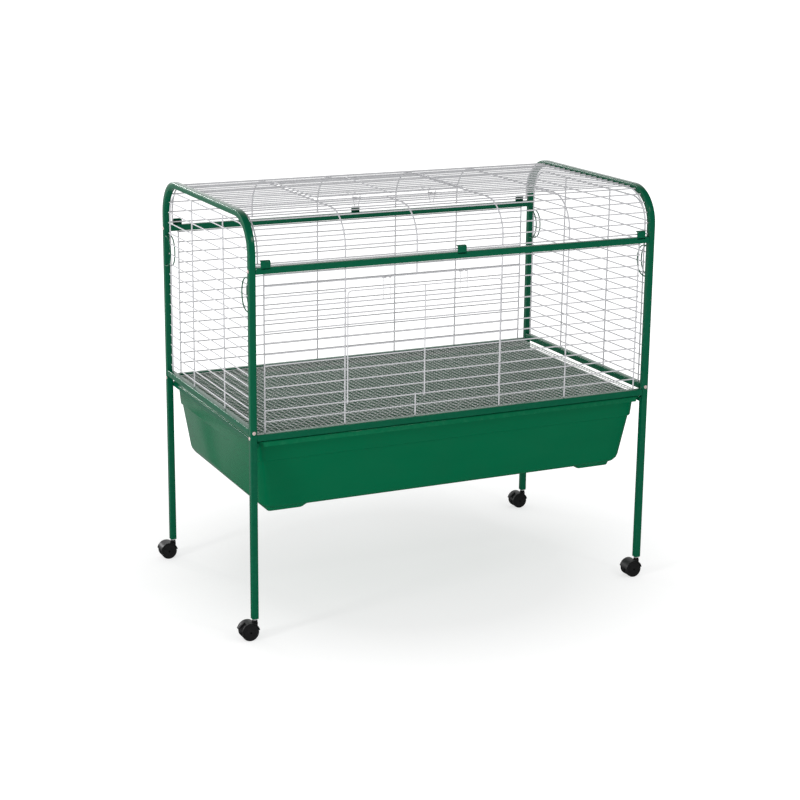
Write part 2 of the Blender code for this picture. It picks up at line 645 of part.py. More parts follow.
def latch(name, cx, place, origin, tab):
    """A coil round a panel wire with two arms that lie over the door edge.

    (u, v, w): along the length, distance from the coil toward the door, outward from the panel."""
    def bar(u, v, w):
        bm = bmesh.new()
        pts = [bm.verts.new(place(cx + a, b, c)) for a in u for b in v for c in w]
        for ids in BOX_FACES:
            bm.faces.new([pts[i] for i in ids])
        return bm

    bm = bmesh.new()
    rings = []
    for u in (-LATCH_HALF - LATCH_T, LATCH_HALF + LATCH_T):
        for r in (COIL_OUT_R, COIL_IN_R):
            rings.append([bm.verts.new(place(cx + u, r * math.sin(t), r * math.cos(t)))
                          for t in (2 * math.pi * (k + 0.5) / COIL_SIDES for k in range(COIL_SIDES))])
    for a, b in ((0, 2), (2, 3), (3, 1), (1, 0)):
        for k in range(COIL_SIDES):
            m = (k + 1) % COIL_SIDES
            bm.faces.new((rings[a][k], rings[a][m], rings[b][m], rings[b][k]))
    obj = link(name, bm, paint(name + "_zinc", STEEL, 0.3, 1.0), origin)
    t = LATCH_T
    arm = (LATCH_OUT - t, LATCH_OUT + t)
    for s in (-LATCH_HALF, LATCH_HALF):
        combine(obj, bar((s - t, s + t), (-t, t), (ARM_ROOT, LATCH_OUT + t)), "UNION")
        combine(obj, bar((s - t, s + t), (-t, LATCH_LEN), arm), "UNION")
        if tab:
            combine(obj, bar((s - t, s + t), (-t, t), (-TAIL_OUT, -ARM_ROOT)), "UNION")
    combine(obj, bar((-LATCH_HALF - t, LATCH_HALF + t), (LATCH_LEN - 2 * t, LATCH_LEN), arm), "UNION")
    return obj


LATCH_Z = WIRE_Z0 + PITCH * OPEN_ROWS[1]
for tag, cx in (("left", LATCH_X[0]), ("right", LATCH_X[1])):
    latch("front_latch_" + tag, cx, lambda u, v, w: (u, -PY - w, LATCH_Z - v), (cx, -PY, LATCH_Z), False)
    latch("roof_latch_" + tag, cx, lambda u, v, w: (u, ROOF_OPEN_Y[0] + v, ROOF_Z + w),
          (cx, ROOF_OPEN_Y[0], ROOF_Z), True)

# ---------------------------------------------------------------- floor grille
GRILLE_Z = 0.4754
GRILLE_T = 0.0030
GRILLE_X = 0.4900
GRILLE_Y = 0.2807
GRILLE_BARS = (11, 7)
GRILLE_BAR_W = 0.0036
g_cols = [-GRILLE_X + 2 * GRILLE_X * i / (GRILLE_BARS[0] - 1) for i in range(GRILLE_BARS[0])]
g_rows = [-GRILLE_Y + 2 * GRILLE_Y * j / (GRILLE_BARS[1] - 1) for j in range(GRILLE_BARS[1])]
plate("floor_grille", lattice(g_cols, g_rows, GRILLE_BAR_W, GRILLE_BAR_W, always),
      lambda u, v, w: (u, v, GRILLE_Z + w), GRILLE_T, paint("floor_grille_zinc", STEEL, 0.35, 1.0))

# ---------------------------------------------------------------- plastic tub
# half length, half depth, height and corner radius of each ring, outside from the top and inside from the floor
TUB_OUT = ((0.4985, 0.2965, TUB_TOP, 0.012), (0.4985, 0.2965, 0.4603, 0.012), (0.4935, 0.2780, 0.4603, 0.018),
           (0.4900, 0.2745, 0.4115, 0.020), (0.4867, 0.2710, 0.4085, 0.020), (0.4730, 0.2570, 0.3030, 0.026),
           (0.4660, 0.2500, 0.2915, 0.026), (0.4520, 0.2360, TUB_FLOOR, 0.024))
TUB_IN = ((0.4505, 0.2345, TUB_FLOOR + 0.003, 0.022), (0.4632, 0.2472, 0.2945, 0.023),
          (0.4700, 0.2540, 0.3040, 0.023), (0.4838, 0.2680, 0.4095, 0.017), (0.4870, 0.2715, 0.4125, 0.017),
          (0.4905, 0.2750, TUB_TOP, 0.015))
FOOT_TOP = (0.348, 0.451, 0.174, 0.2345)      # X and Y limits of a tub foot where it meets the floor
FOOT_LOW = (0.365, 0.449, 0.178, 0.2300)      # and at its underside
FOOT_Z = 0.276
SKIRT_X = (0.485, 0.475)  # half length of the hanging lip at the front and at the rear
SKIRT_Y = (0.2945, 0.2963)
SKIRT_Z = (0.4510, 0.4615)


def ring_points(hx, hy, z, r, steps=4):
    pts = []
    for sx, sy, start in ((1, 1, 0.0), (-1, 1, 90.0), (-1, -1, 180.0), (1, -1, 270.0)):
        for k in range(steps + 1):
            a = math.radians(start + 90.0 * k / steps)
            pts.append((sx * (hx - r) + r * math.cos(a), sy * (hy - r) + r * math.sin(a), z))
    return pts


def tub():
    bm = bmesh.new()
    rings = [[bm.verts.new(p) for p in ring_points(*spec)] for spec in TUB_OUT + TUB_IN]
    rings.append(rings[0])
    bottom = len(TUB_OUT) - 1
    for k, (p, q) in enumerate(zip(rings, rings[1:])):
        if k == bottom:
            continue
        for i in range(len(p)):
            j = (i + 1) % len(p)
            bm.faces.new((p[i], p[j], q[j], q[i]))
    bm.faces.new(rings[bottom])
    bm.faces.new(rings[bottom + 1][::-1])
    obj = link("tub", bm, paint("tub_plastic", TUB_GREEN, 0.38))
    for sx in (-1, 1):
        for sy in (-1, 1):
            work = bmesh.new()
            loops = []
            for (x0, x1, y0, y1), z in ((FOOT_TOP, TUB_FLOOR + 0.0012), (FOOT_LOW, FOOT_Z)):
                loops.append([work.verts.new(p) for p in ((sx * x0, sy * y0, z), (sx * x1, sy * y0, z),
                                                          (sx * x1, sy * y1, z), (sx * x0, sy * y1, z))])
            work.faces.new(loops[0])
            work.faces.new(loops[1][::-1])
            for i in range(4):
                j = (i + 1) % 4
                work.faces.new((loops[0][i], loops[0][j], loops[1][j], loops[1][i]))
            combine(obj, work, "UNION")
    for sy, hx in zip((-1, 1), SKIRT_X):
        work = bmesh.new()
        ys = sorted(sy * y for y in SKIRT_Y)
        add_box(work, (-hx, ys[0], SKIRT_Z[0]), (hx, ys[1], SKIRT_Z[1]))
        combine(obj, work, "UNION")
    return obj


tub()

# ---------------------------------------------------------------- castors
HOOD_R = 0.0224
HOOD_ENDS = (12, 168)     # where the cover starts and stops, in degrees round the axle
FENDER_ENDS = (-8, 184)   # and the narrow fender between the wheels
LEVER_ARC = (114, 124, 135)          # the lever lies on the hood at these angles
LEVER_PIVOT = 118
LEVER_TIP = ((-0.0262, 0.0285), (-0.0264, 0.0312))
LEVER_T = (0.0008, 0.0036)           # lower and upper face above the hood
LEVER_HALF = 0.0058
NECK_R = 0.0062
NECK_LOW = 0.0385
STEM_UP = 0.018           # how far the stem stands in the leg
AXLE_R = 0.0025
WHEEL_SIDES = 18
WHEEL_IN = 0.0050         # inner face of a wheel from the castor middle
WHEEL_OUT = 0.0163
HOOD_IN = 0.0046


def prism(outline, y0, y1):
    """A block with an (X, Z) outline between two Y faces."""
    bm = bmesh.new()
    loops = [[bm.verts.new((x, y, z)) for x, z in outline] for y in (y0, y1)]
    bm.faces.new(loops[0])
    bm.faces.new(loops[1][::-1])
    for k in range(len(outline)):
        m = (k + 1) % len(outline)
        bm.faces.new((loops[0][k], loops[0][m], loops[1][m], loops[1][k]))
    return bm


def rod(start, end, radius, sides):
    bm = bmesh.new()
    add_rod(bm, start, end, radius, sides)
    return bm


def wheel(name, cx, py, side):
    """One disc with a bore; side is -1 or 1 for the half of the twin castor."""
    bm = bmesh.new()
    bore = AXLE_R + 0.0004
    section = ((WHEEL_IN, WHEEL_R), (WHEEL_OUT - 0.002, WHEEL_R), (WHEEL_OUT, WHEEL_R - 0.0016),
               (WHEEL_OUT, bore), (WHEEL_IN, bore))
    turns = [2 * math.pi * (k + 0.5) / WHEEL_SIDES for k in range(WHEEL_SIDES)]
    loops = [[bm.verts.new((cx + r * math.cos(t), py + side * y, WHEEL_R + r * math.sin(t))) for t in turns]
             for y, r in section]
    loops.append(loops[0])
    for p, q in zip(loops, loops[1:]):
        for k in range(WHEEL_SIDES):
            m = (k + 1) % WHEEL_SIDES
            bm.faces.new((p[k], p[m], q[m], q[k]))
    link(name, bm, paint(name + "_nylon", BLACK, 0.5), (cx, py, WHEEL_R))


def polar(cx, radius, degrees):
    """(X, Z) of a point round the wheel axle."""
    a = math.radians(degrees)
    return (cx + radius * math.cos(a), WHEEL_R + radius * math.sin(a))


def spread(first, last, steps=8):
    return [first + (last - first) * k / steps for k in range(steps + 1)]


def brake_lever(name, cx, py):
    """A foot lever that lies on the hood and lifts about its upper end."""
    low, high = (HOOD_R + t for t in LEVER_T)
    outline = [polar(cx, low, a) for a in LEVER_ARC] + [(cx + x, z) for x, z in LEVER_TIP]
    outline += [polar(cx, high, a) for a in reversed(LEVER_ARC)]
    px, pz = polar(cx, (low + high) / 2, LEVER_PIVOT)
    link(name, prism(outline, py - LEVER_HALF, py + LEVER_HALF), paint(name + "_nylon", BLACK, 0.45), (px, py, pz))


def caster(tag, sx, sy, braked):
    px, py = sx * PX, sy * PY
    cx = px - TRAIL
    obj = link("caster_body_" + tag, rod((px, py, NECK_LOW), (px, py, LEG_BOTTOM - GAP), NECK_R, 12),
               paint("caster_body_%s_nylon" % tag, BLACK, 0.45), (px, py, LEG_BOTTOM))
    combine(obj, rod((px, py, LEG_BOTTOM - 0.004), (px, py, LEG_BOTTOM + STEM_UP), STEM_R, 10), "UNION")
    core = [polar(cx, HOOD_R - 0.0004, a) for a in spread(*FENDER_ENDS)]
    core += [(cx - 0.004, WHEEL_R - 0.006), (cx + 0.004, WHEEL_R - 0.006)]
    combine(obj, prism(core, py - HOOD_IN, py + HOOD_IN), "UNION")
    cover = [polar(cx, HOOD_R, a) for a in spread(*HOOD_ENDS)]
    cover += [polar(cx, WHEEL_R + 0.0007, a) for a in reversed(spread(*HOOD_ENDS))]
    combine(obj, prism(cover, py - CASTER_W, py + CASTER_W), "UNION")
    neck = ((cx + 0.004, 0.0250), (px + 0.0055, 0.0290), (px + 0.0055, 0.0405), (cx + 0.004, 0.0405))
    combine(obj, prism(neck, py - HOOD_IN + 0.0003, py + HOOD_IN - 0.0003), "UNION")
    combine(obj, rod((cx, py - 0.0150, WHEEL_R), (cx, py + 0.0150, WHEEL_R), AXLE_R, 10), "UNION")
    wheel("wheel_outer_" + tag, cx, py, sy)
    wheel("wheel_inner_" + tag, cx, py, -sy)
    if braked:
        brake_lever("brake_lever_" + tag, cx, py)


caster("front_left", -1, -1, True)
caster("rear_left", -1, 1, False)
caster("front_right", 1, -1, False)
caster("rear_right", 1, 1, True)
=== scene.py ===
"""The looks of the wire rabbit hutch: welded wires, rounded tube, coiled latches, moulded tub, castors."""
import json
import math

import bmesh
import bpy
from mathutils import Matrix, Vector


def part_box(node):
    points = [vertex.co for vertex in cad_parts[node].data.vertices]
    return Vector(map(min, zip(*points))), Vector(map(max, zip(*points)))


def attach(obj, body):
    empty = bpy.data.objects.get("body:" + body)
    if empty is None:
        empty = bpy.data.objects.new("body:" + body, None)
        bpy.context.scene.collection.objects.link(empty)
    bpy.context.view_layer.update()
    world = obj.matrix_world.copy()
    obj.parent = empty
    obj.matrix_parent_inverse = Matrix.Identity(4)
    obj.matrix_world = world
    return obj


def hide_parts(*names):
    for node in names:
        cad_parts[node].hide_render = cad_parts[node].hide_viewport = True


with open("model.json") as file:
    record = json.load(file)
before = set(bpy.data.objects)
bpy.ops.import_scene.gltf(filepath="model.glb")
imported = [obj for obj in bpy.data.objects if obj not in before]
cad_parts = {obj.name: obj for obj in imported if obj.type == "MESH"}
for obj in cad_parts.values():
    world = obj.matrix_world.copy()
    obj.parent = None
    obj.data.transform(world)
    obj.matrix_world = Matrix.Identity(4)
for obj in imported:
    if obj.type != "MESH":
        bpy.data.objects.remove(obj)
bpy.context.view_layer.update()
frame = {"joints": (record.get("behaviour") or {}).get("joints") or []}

# ---------------------------------------------------------------- places read from the frame
X, Y, Z = Vector((1, 0, 0)), Vector((0, 1, 0)), Vector((0, 0, 1))
SIDES = (("left", -1), ("right", 1))
ENDS = (("front", -1), ("rear", 1))
CORNERS = [("%s_%s" % (end, side), sx, sy) for side, sx in SIDES for end, sy in ENDS]
hoop_lo, hoop_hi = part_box("hoop_right")
leg_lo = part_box("leg_front_right")[0]
TUBE = hoop_hi[0] - hoop_lo[0]
HALF_X, HALF_Y, TOP_Z, JOINT_Z = hoop_hi[0], hoop_hi[1], hoop_hi[2], hoop_lo[2]
LEG_LOW, LEG_HIGH = leg_lo[2], JOINT_Z - 0.0003
POST_X = HALF_X - TUBE / 2
POST_Y = HALF_Y - TUBE / 2
BEND_R = 0.090                       # outer radius of a hoop bend
TUBE_SOFT = 0.0016                   # radius of the tube's long corners
BEND_Y = HALF_Y - BEND_R
BEND_Z = TOP_Z - BEND_R

# ---------------------------------------------------------------- wire work
PITCH = 0.0254
BAR_HALF = 0.0011                    # from a CAD lattice's box face to its first wire's centre line
EDGE_HALF = 0.0015                   # the same for an edge wire
THIN, THICK = 0.00155, 0.0018        # radii of the closely spaced wires and of the stiffer ones
LAP = 0.0024                         # how far crossing wires lie apart, centre to centre
CROSS_X = (0.109, 0.285, 0.478)
OPEN_X = (-0.285, 0.109)
OPEN_ROWS = (2, 13)
ROW_Z0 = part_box("front_door")[1][2] - BAR_HALF - 12 * PITCH
HINGE_Z = ROW_Z0 + OPEN_ROWS[0] * PITCH
DOOR_X = (-0.281, -0.089, 0.104)
DOOR_OUT = 0.0035
DOOR_WIRE = 0.0014                   # radius of a door's frame wire
DOOR_ROWS = 10


def joint(name):
    return next(j for j in frame["joints"] if j["name"] == name)


# ---------------------------------------------------------------- mesh helpers
def add_rings(bm, rings, closed=False):
    """Skin a list of equally long vertex rings, with flat ends unless the rings close on themselves."""
    pairs = list(zip(rings, rings[1:] + rings[:1])) if closed else list(zip(rings, rings[1:]))
    count = len(rings[0])
    for low, high in pairs:
        for i in range(count):
            j = (i + 1) % count
            bm.faces.new((low[i], low[j], high[j], high[i]))
    if not closed:
        bm.faces.new(rings[0][::-1])
        bm.faces.new(rings[-1])


def add_wire(bm, points, radius, sides=8, closed=False):
    """A round wire along a path, with its section carried along without twist."""
    pts = [Vector(p) for p in points]
    count = len(pts)
    rings = []
    side = None
    for i, p in enumerate(pts):
        before = pts[i - 1] if (closed or i) else p
        after = pts[(i + 1) % count] if (closed or i + 1 < count) else p
        tangent = (after - before).normalized()
        side = tangent.orthogonal() if side is None else side - tangent * side.dot(tangent)
        side.normalize()
        up = tangent.cross(side)
        rings.append([bm.verts.new(p + radius * (math.cos(a) * side + math.sin(a) * up))
                      for a in (2 * math.pi * k / sides for k in range(sides))])
    add_rings(bm, rings, closed)


def add_lathe(bm, profile, centre, axis, sides=32, closed=False):
    """Turn (height, radius) points about an axis through centre."""
    axis = Vector(axis).normalized()
    side = axis.orthogonal().normalized()
    up = axis.cross(side)
    rings = [[bm.verts.new(Vector(centre) + h * axis + r * (math.cos(a) * side + math.sin(a) * up))
              for a in (2 * math.pi * k / sides for k in range(sides))] for h, r in profile]
    add_rings(bm, rings, closed)


def rounded(half_u, half_v, radius, steps=3):
    """Outline of a rounded rectangle."""
    out = []
    for su, sv, start in ((1, 1, 0), (-1, 1, 90), (-1, -1, 180), (1, -1, 270)):
        for k in range(steps + 1):
            a = math.radians(start + 90 * k / steps)
            out.append((su * (half_u - radius) + radius * math.cos(a),
                        sv * (half_v - radius) + radius * math.sin(a)))
    return out


def add_sweep(bm, stations, outline, closed=False):
    """Sweep a (u, v) outline along stations of (origin, u axis, v axis)."""
    add_rings(bm, [[bm.verts.new(o + u * a + v * b) for u, v in outline] for o, a, b in stations], closed)


def add_block(bm, lo, hi, radius=0.0006):
    """A box whose edges along its longest side are rounded, with softened ends."""
    lo, hi = Vector(lo), Vector(hi)
    size = hi - lo
    axis = max(range(3), key=lambda i: size[i])
    a, b = [i for i in range(3) if i != axis]
    axes = [Vector([float(i == k) for k in range(3)]) for i in range(3)]
    mid = (lo + hi) / 2
    r = min(radius, size[a] * 0.45, size[b] * 0.45)
    rings = []
    for t, inset in ((-0.5, r * 0.6), (-0.5, 0.0), (0.5, 0.0), (0.5, r * 0.6)):
        along = t * size[axis] + (r * 0.6 if t < 0 else -r * 0.6) * (inset == 0.0)
        outline = rounded(size[a] / 2 - inset, size[b] / 2 - inset, max(r - inset, r * 0.3))
        rings.append([bm.verts.new(mid + along * axes[axis] + u * axes[a] + v * axes[b]) for u, v in outline])
    add_rings(bm, rings)


def piece(name, bm, mat, body, nodes=(), sharp=38):
    """Finish a bmesh as a shaded object that rides on a body and stands for CAD nodes."""
    bmesh.ops.recalc_face_normals(bm, faces=bm.faces)
    mesh = bpy.data.meshes.new(name)
    bm.to_mesh(mesh)
    bm.free()
    mesh.materials.append(mat)
    mesh.shade_smooth()
    mesh.set_sharp_from_angle(angle=math.radians(sharp))
    obj = bpy.data.objects.new(name, mesh)
    bpy.context.scene.collection.objects.link(obj)
    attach(obj, body)
    if nodes:
        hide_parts(*nodes)
    return obj


# ---------------------------------------------------------------- materials
class Nodes:
    """A short way to write a material's node tree."""

    def __init__(self, name):
        self.mat = bpy.data.materials.new(name)
        self.mat.use_nodes = True
        self.tree = self.mat.node_tree
        self.bsdf = self.tree.nodes["Principled BSDF"]
        self.coord = self.tree.nodes.new("ShaderNodeTexCoord").outputs["Object"]

    def link(self, a, b):
        self.tree.links.new(a, b)

    def noise(self, scale, detail=3.0, rough=0.55, stretch=None):
        node = self.tree.nodes.new("ShaderNodeTexNoise")
        node.inputs["Scale"].default_value = scale
        node.inputs["Detail"].default_value = detail
        node.inputs["Roughness"].default_value = rough
        if stretch:
            mapping = self.tree.nodes.new("ShaderNodeMapping")
            mapping.inputs["Scale"].default_value = stretch
            self.link(self.coord, mapping.inputs["Vector"])
            self.link(mapping.outputs["Vector"], node.inputs["Vector"])
        else:
            self.link(self.coord, node.inputs["Vector"])
        return node.outputs["Fac"]

    def spread(self, value, low, high, start=0.35, end=0.65):
        node = self.tree.nodes.new("ShaderNodeMapRange")
        node.inputs["From Min"].default_value = start
        node.inputs["From Max"].default_value = end
        node.inputs["To Min"].default_value = low
        node.inputs["To Max"].default_value = high
        self.link(value, node.inputs["Value"])
        return node.outputs["Result"]

    def blend(self, factor, a, b):
        node = self.tree.nodes.new("ShaderNodeMix")
        node.data_type = "RGBA"
        node.inputs["A"].default_value = (*a, 1.0) if isinstance(a, tuple) else (0, 0, 0, 1)
        if not isinstance(a, tuple):
            self.link(a, node.inputs["A"])
        node.inputs["B"].default_value = (*b, 1.0)
        self.link(factor, node.inputs["Factor"])
        return node.outputs["Result"]

    def bump(self, layers):
        """Stack (height, strength, distance) layers."""
        normal = None
        for height, strength, distance in layers:
            node = self.tree.nodes.new("ShaderNodeBump")
            node.inputs["Strength"].default_value = strength
            node.inputs["Distance"].default_value = distance
            self.link(height, node.inputs["Height"])
            if normal:
                self.link(normal, node.inputs["Normal"])
            normal = node.outputs["Normal"]
        self.link(normal, self.bsdf.inputs["Normal"])

    def edges(self, start=0.54, end=0.62):
        """0 on flats, 1 on convex edges."""
        geo = self.tree.nodes.new("ShaderNodeNewGeometry")
        return self.spread(geo.outputs["Pointiness"], 0.0, 1.0, start, end)


DARKER, PALER = 0.98, 1.02           # how far a coat's tone drifts


def tones(colour):
    """The darkest and the palest tone of a coat."""
    return tuple(c * DARKER for c in colour), tuple(c * PALER for c in colour)


def enamel(name, colour, light, rough, sheen, peel=0.06, wear=0.08):
    """Powder-coated steel: cloudy gloss, orange peel, and paler worn edges."""
    n = Nodes(name)
    tone = n.blend(n.spread(n.noise(14.0), 0.0, 1.0), *tones(colour))
    worn = n.tree.nodes.new("ShaderNodeMath")
    worn.operation = "MULTIPLY"
    n.link(n.edges(), worn.inputs[0])
    n.link(n.spread(n.noise(160.0, 4.0), 0.0, wear, 0.42, 0.62), worn.inputs[1])
    n.link(n.blend(worn.outputs[0], tone, light), n.bsdf.inputs["Base Color"])
    n.link(n.spread(n.noise(60.0, 5.0), rough - 0.02, rough + 0.03), n.bsdf.inputs["Roughness"])
    n.bsdf.inputs["Specular IOR Level"].default_value = sheen
    n.bump([(n.noise(900.0, 2.0), peel, 0.0002), (n.noise(240.0, 2.0), peel * 0.5, 0.0003)])
    return n.mat


def zinc(name, colour, rough, metal):
    """Plated wire: drawn lines and a slightly mottled sheen."""
    n = Nodes(name)
    dark = tuple(c * 0.78 for c in colour)
    n.link(n.blend(n.spread(n.noise(220.0, 4.0), 0.0, 1.0), dark, colour), n.bsdf.inputs["Base Color"])
    n.bsdf.inputs["Metallic"].default_value = metal
    n.link(n.spread(n.noise(500.0, 3.0), rough - 0.07, rough + 0.1), n.bsdf.inputs["Roughness"])
    n.bump([(n.noise(1800.0, 2.0), 0.15, 0.0002)])
    return n.mat


def moulded(name, colour, rough, grain, scuff, sheen):
    """Moulded plastic: fine grain, flow marks, and pale scuffs on the edges."""
    n = Nodes(name)
    tone = n.blend(n.spread(n.noise(5.0, 2.0, stretch=(1.0, 1.0, 4.0)), 0.0, 1.0), *tones(colour))
    worn = n.tree.nodes.new("ShaderNodeMath")
    worn.operation = "MULTIPLY"
    n.link(n.edges(), worn.inputs[0])
    n.link(n.spread(n.noise(90.0, 5.0), 0.0, scuff, 0.45, 0.7), worn.inputs[1])
    pale = tuple(min(1.0, c * 1.8 + 0.05) for c in colour)
    n.link(n.blend(worn.outputs[0], tone, pale), n.bsdf.inputs["Base Color"])
    n.link(n.spread(n.noise(12.0, 3.0), rough - 0.02, rough + 0.03), n.bsdf.inputs["Roughness"])
    n.bsdf.inputs["Specular IOR Level"].default_value = sheen
    n.bump([(n.noise(grain, 2.0), 0.05, 0.0001), (n.noise(7.0, 1.0), 0.02, 0.002)])
    return n.mat


GREEN = enamel("green_powder_coat", (0.0001, 0.087, 0.041), (0.04, 0.22, 0.13), 0.20, 0.25)
WHITE = enamel("white_powder_coat", (0.54, 0.54, 0.56), (0.67, 0.67, 0.68), 0.38, 0.25, peel=0.05, wear=0.05)
# Zinc grey with a slight green tint, a painted reflection of the green tub around the mesh.
ZINC_AND_GREEN_REFLECTION = zinc("galvanised_wire", (0.80, 0.84, 0.81), 0.42, 0.20)
SPRING = zinc("white_zinc_spring", (0.70, 0.70, 0.72), 0.42, 0.20)
BOLT = zinc("zinc_bolt", (0.84, 0.70, 0.66), 0.34, 0.35)
TUB = moulded("green_plastic", (0.0001, 0.112, 0.046), 0.16, 700.0, 0.10, 0.25)
NYLON = moulded("black_nylon", (0.012, 0.012, 0.0125), 0.42, 900.0, 0.15, 0.25)
TREAD = moulded("black_tread", (0.012, 0.012, 0.0125), 0.55, 500.0, 0.1, 0.20)
COLLAR = moulded("pale_collar", (0.50, 0.51, 0.52), 0.42, 700.0, 0.2, 0.4)

# ---------------------------------------------------------------- tube frame
TUBE_OUTLINE = rounded(TUBE / 2, TUBE / 2, TUBE_SOFT)


def arch(offset, foot, steps=14):
    """Stations (Y, Z, outward normal) along an arch offset outward from the tube's centre line."""
    radius = BEND_R - TUBE / 2 + offset
    out = [(-POST_Y - offset, foot, Vector((0, -1, 0)))]
    for cy, start in ((-BEND_Y, 180), (BEND_Y, 90)):
        for k in range(steps + 1):
            a = math.radians(start - 90 * k / steps)
            n = Vector((0, math.cos(a), math.sin(a)))
            out.append((cy + radius * n.y, BEND_Z + radius * n.z, n))
    out.append((POST_Y + offset, foot, Vector((0, 1, 0))))
    return out


for side, sx in SIDES:
    bm = bmesh.new()
    add_sweep(bm, [(Vector((sx * POST_X, y, z)), X, n) for y, z, n in arch(0.0, JOINT_Z)], TUBE_OUTLINE)
    piece("hoop_tube_" + side, bm, GREEN, "frame", ["hoop_" + side])
    bm = bmesh.new()
    lo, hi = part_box("end_rail_" + side)
    add_block(bm, lo, hi, TUBE_SOFT)
    piece("end_rail_tube_" + side, bm, GREEN, "frame", ["end_rail_" + side])
    bm = bmesh.new()
    lo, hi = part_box("tub_runner_" + side)
    add_block(bm, lo, hi, 0.0010)
    piece("tub_runner_bar_" + side, bm, GREEN, "frame", ["tub_runner_" + side])

for tag, sx, sy in CORNERS:
    bm = bmesh.new()
    stations = [(Vector((sx * POST_X, sy * POST_Y, z)), X, Y) for z in (LEG_LOW, LEG_HIGH)]
    add_sweep(bm, stations, TUBE_OUTLINE)
    piece("leg_tube_" + tag, bm, GREEN, "frame", ["leg_" + tag])

CLIP_X = (-0.477, 0.0, 0.477)
CLIP_HALF = 0.0115
STRIP_HALF = 0.0008                  # half the thickness of the pressed strip
LEDGE_X, LEDGE_OUT, LEDGE_LAP = 0.488, 0.006, 0.001
LEDGE_LOW, LEDGE_HIGH = 0.0050, 0.0085


def add_clip(bm, cx, sy, low, high):
    """A pressed strip that rises from the rail and curls over the roof's edge wire."""
    face = sy * (HALF_Y - STRIP_HALF)
    curl = 0.0046
    path = [(face, low), (face, high - curl)]
    path += [(face - sy * curl * (1 - math.cos(a)), high - curl + curl * math.sin(a))
             for a in (math.radians(22.5 * k) for k in range(1, 5))]
    path += [(face - sy * (curl + 0.0035), high)]
    stations = []
    for i, (y, z) in enumerate(path):
        y0, z0 = path[max(i - 1, 0)]
        y1, z1 = path[min(i + 1, len(path) - 1)]
        along = Vector((0, y1 - y0, z1 - z0)).normalized()
        stations.append((Vector((cx, y, z - STRIP_HALF)), X, along.cross(X)))
    add_sweep(bm, stations, rounded(CLIP_HALF, STRIP_HALF, 0.0005, 2))


for end, sy in ENDS:
    for level, clips in (("upper", True), ("lower", False)):
        node = "%s_rail_%s" % (level, end)
        lo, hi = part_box(node)
        bm = bmesh.new()
        inner, outer = sorted((sy * HALF_Y, sy * (HALF_Y - TUBE)))
        add_block(bm, (lo[0], inner, lo[2]), (hi[0], outer, lo[2] + TUBE), TUBE_SOFT)
        if clips:
            for cx in CLIP_X:
                add_clip(bm, cx, sy, lo[2] + TUBE - 0.004, hi[2])
        else:
            ledge = sorted((sy * (HALF_Y - TUBE + LEDGE_LAP), sy * (HALF_Y - TUBE - LEDGE_OUT)))
            add_block(bm, (-LEDGE_X, ledge[0], lo[2] + LEDGE_LOW), (LEDGE_X, ledge[1], lo[2] + LEDGE_HIGH))
        piece(node + "_tube", bm, GREEN, "frame", [node])


# ---------------------------------------------------------------- bolts
BOLT_PROFILE = ((-0.002, 0.0020), (0.0003, 0.0020), (0.0003, 0.0041), (0.0008, 0.0042), (0.0015, 0.0039),
                (0.0020, 0.0030), (0.0022, 0.0019), (0.0014, 0.0017), (0.0012, 0.0002))


def bolt(node, head_centre, direction):
    """A pan head on a washer face, with a driver socket."""
    bm = bmesh.new()
    add_lathe(bm, BOLT_PROFILE, head_centre, direction, 20)
    piece(node + "_head", bm, BOLT, "frame", [node])


BOLT_Z_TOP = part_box("upper_rail_front")[0][2] + TUBE / 2
BOLT_Z_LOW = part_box("lower_rail_front")[0][2] + TUBE / 2
BOLT_Z_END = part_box("end_rail_left")[0][2] + TUBE / 2
for tag, sx, sy in CORNERS:
    bolt("bolt_upper_" + tag, (sx * HALF_X, sy * POST_Y, BOLT_Z_TOP), (sx, 0, 0))
    bolt("bolt_lower_" + tag, (sx * HALF_X, sy * POST_Y, BOLT_Z_LOW), (sx, 0, 0))
    bolt("bolt_end_" + tag, (sx * POST_X, sy * HALF_Y, BOLT_Z_END), (0, sy, 0))

# ---------------------------------------------------------------- bow guides
for tag, sx, sy in CORNERS:
    node = "bow_guide_" + tag
    lo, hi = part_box(node)
    radius = 0.0015
    post = sy * (HALF_Y - TUBE - radius)
    reach = (hi[1] - lo[1]) - 2 * radius
    low, high = lo[2] + radius, hi[2] - radius
    xo, xi = sorted((lo[0] + radius, hi[0] - radius), reverse=(sx > 0))
    bow = [(post - sy * reach * math.sin(t) ** 0.8, (low + high) / 2 - (high - low) / 2 * math.cos(t))
           for t in (math.pi * k / 20 for k in range(21))]
    points = [(xo, y, z) for y, z in bow]
    points += [((xo + xi) / 2, post + sy * 0.0006, high + 0.0004)]
    points += [(xi, y, z) for y, z in reversed(bow)]
    points += [((xo + xi) / 2, post + sy * 0.0006, low - 0.0004)]
    bm = bmesh.new()
    add_wire(bm, points, radius, 10, closed=True)
    piece(node + "_wire", bm, GREEN, "frame", [node], 60)

# ---------------------------------------------------------------- front and rear panels
PANEL_LOW, PANEL_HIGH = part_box("front_panel")[0][2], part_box("front_panel")[1][2]
COLUMNS = [-c for c in reversed(CROSS_X)] + list(CROSS_X)


